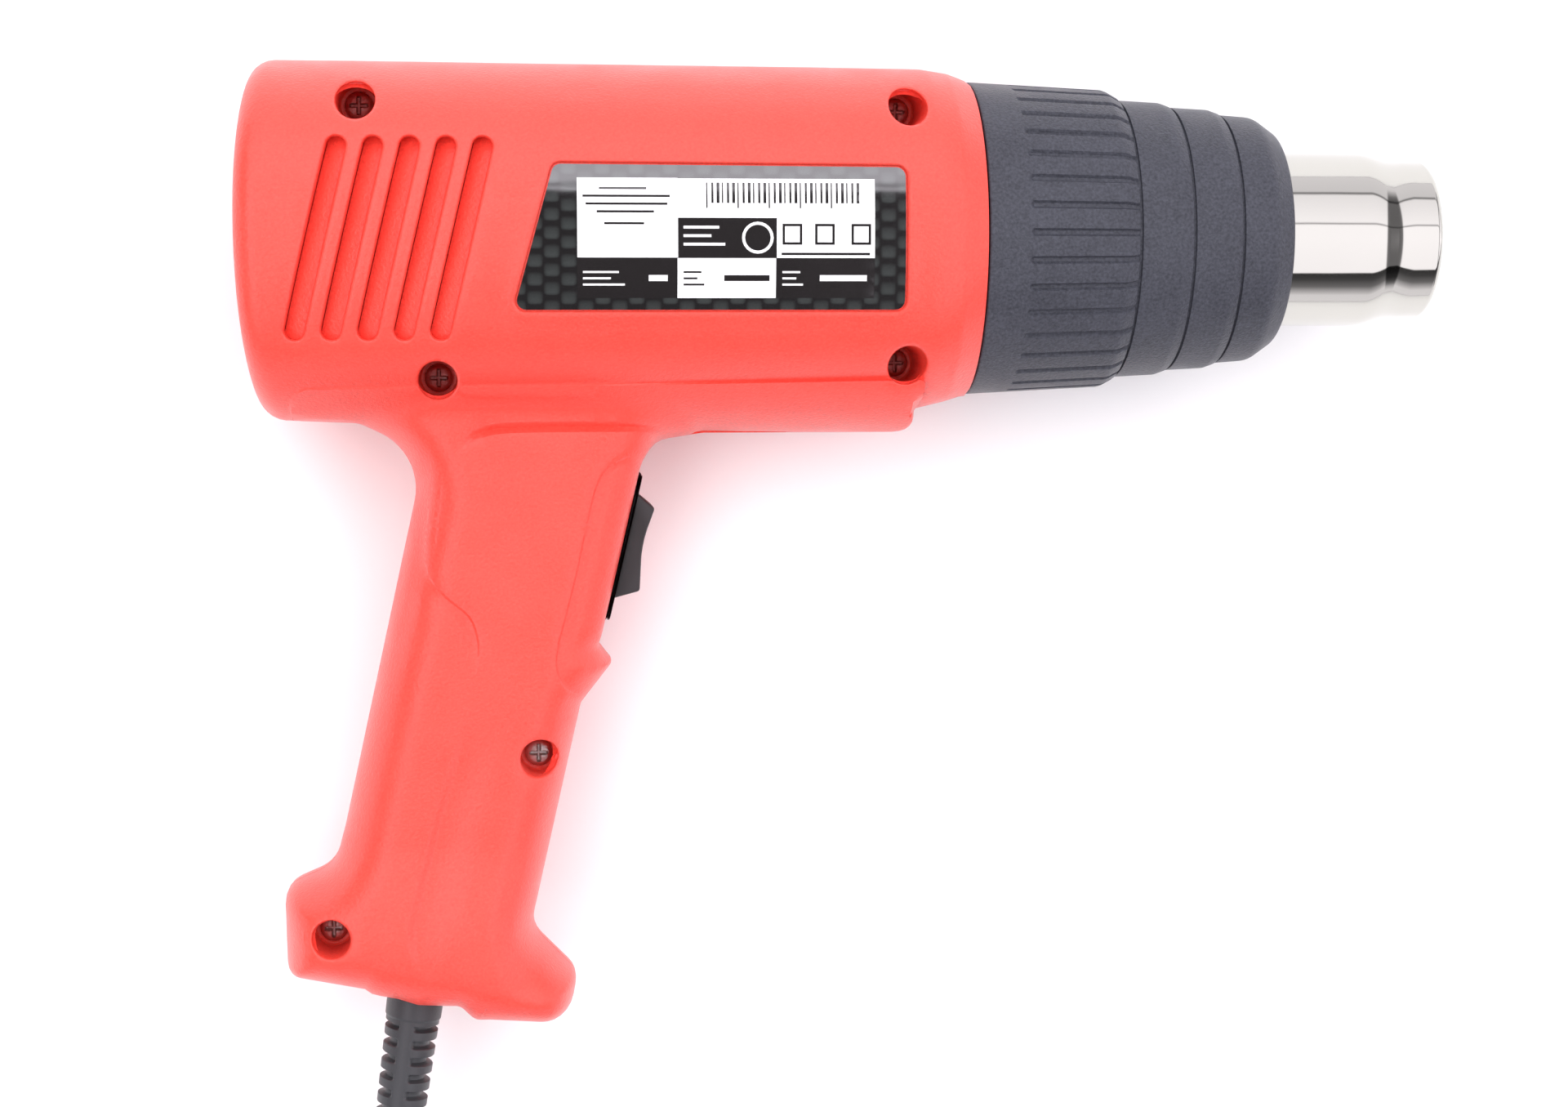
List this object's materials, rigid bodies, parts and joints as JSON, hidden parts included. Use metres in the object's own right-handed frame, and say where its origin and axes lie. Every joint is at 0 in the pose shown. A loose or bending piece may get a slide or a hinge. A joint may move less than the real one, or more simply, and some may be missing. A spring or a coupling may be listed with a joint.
{
  "type": "heat gun",
  "caption": "Pistol-shaped electric hot-air gun with clamshell body, stepped ribbed guard, chromed outlet tube, rocker switch and coiled mains cord.",
  "frame": {"origin": "centre of the underside of the gun's box as it lies on its left side, without the cord", "axes": "+X towards the outlet, +Y towards the top of the barrel, +Z out of the right side, up from the table"},
  "size_m": [0.2538, 0.4127, 0.072],
  "materials": {
    "red_plastic": "moulded, fine spark-eroded grain",
    "black_plastic": "moulded, satin",
    "grey_rubber": "moulded flexible, matte",
    "bright_steel": "polished plated steel",
    "zinc": "zinc-plated",
    "brass": "bright, plated",
    "mica": "pressed mica board",
    "white_plastic": "heat-resistant moulding",
    "label_film": "glossy printed film with plain blocks",
    "circuit_board": "laminate",
    "brown_wire": "insulation",
    "blue_wire": "insulation"
  },
  "bodies": {
    "root": {"right_shell": "red_plastic", "left_shell": "red_plastic", "nozzle_tube": "bright_steel", "rating_label": "label_film", "strain_relief": "grey_rubber", "switch_body": "black_plastic", "motor_can": "zinc", "fan_duct": "white_plastic", "heater_former": "mica", "mica_sleeve": "mica", "heater_base": "mica", "thermal_cutout": "white_plastic", "heating_coil_low": "bright_steel", "heating_coil_high": "bright_steel", "rectifier_board": "circuit_board", "bridge_rectifier": "black_plastic", "suppression_capacitor": "blue_wire", "inner_cord": "grey_rubber", "live_wire": "brown_wire", "neutral_wire": "blue_wire", "heater_wire": "brown_wire", "cord_clamp": "black_plastic", "clamp_screw_1": "zinc", "clamp_screw_2": "zinc", "cord_lead": "grey_rubber", "cord_coil": "grey_rubber", "cord_end": "grey_rubber", "coil_tie": "black_plastic", "plug_body": "grey_rubber", "plug_pin_1": "brass", "plug_pin_2": "brass", "case_screw_1": "zinc", "case_screw_2": "zinc", "case_screw_3": "zinc", "case_screw_4": "zinc", "case_screw_5": "zinc", "case_screw_6": "zinc", "switch_terminal_1": "brass", "switch_terminal_2": "brass", "switch_terminal_3": "brass"},
    "fan": {"motor_shaft": "bright_steel", "fan_impeller": "white_plastic"},
    "rocker": {"rocker": "black_plastic"},
    "guard": {"front_guard": "black_plastic"}
  },
  "joints": [
    {"name": "rocker_tilt", "type": "hinge", "parent": "root", "child": "rocker", "pos_m": [-0.0499, 0.00131, 0.036], "axis": [0, 0, 1], "range_deg": [-12, 12]},
    {"name": "fan_spin", "type": "hinge", "parent": "root", "child": "fan", "pos_m": [-0.0619, 0.06615, 0.036], "axis": [1, 0, 0], "continuous": true},
    {"name": "guard_twist", "type": "hinge", "parent": "root", "child": "guard", "pos_m": [0.0601, 0.06615, 0.036], "axis": [1, 0, 0], "range_deg": [0, 30]}
  ]
}
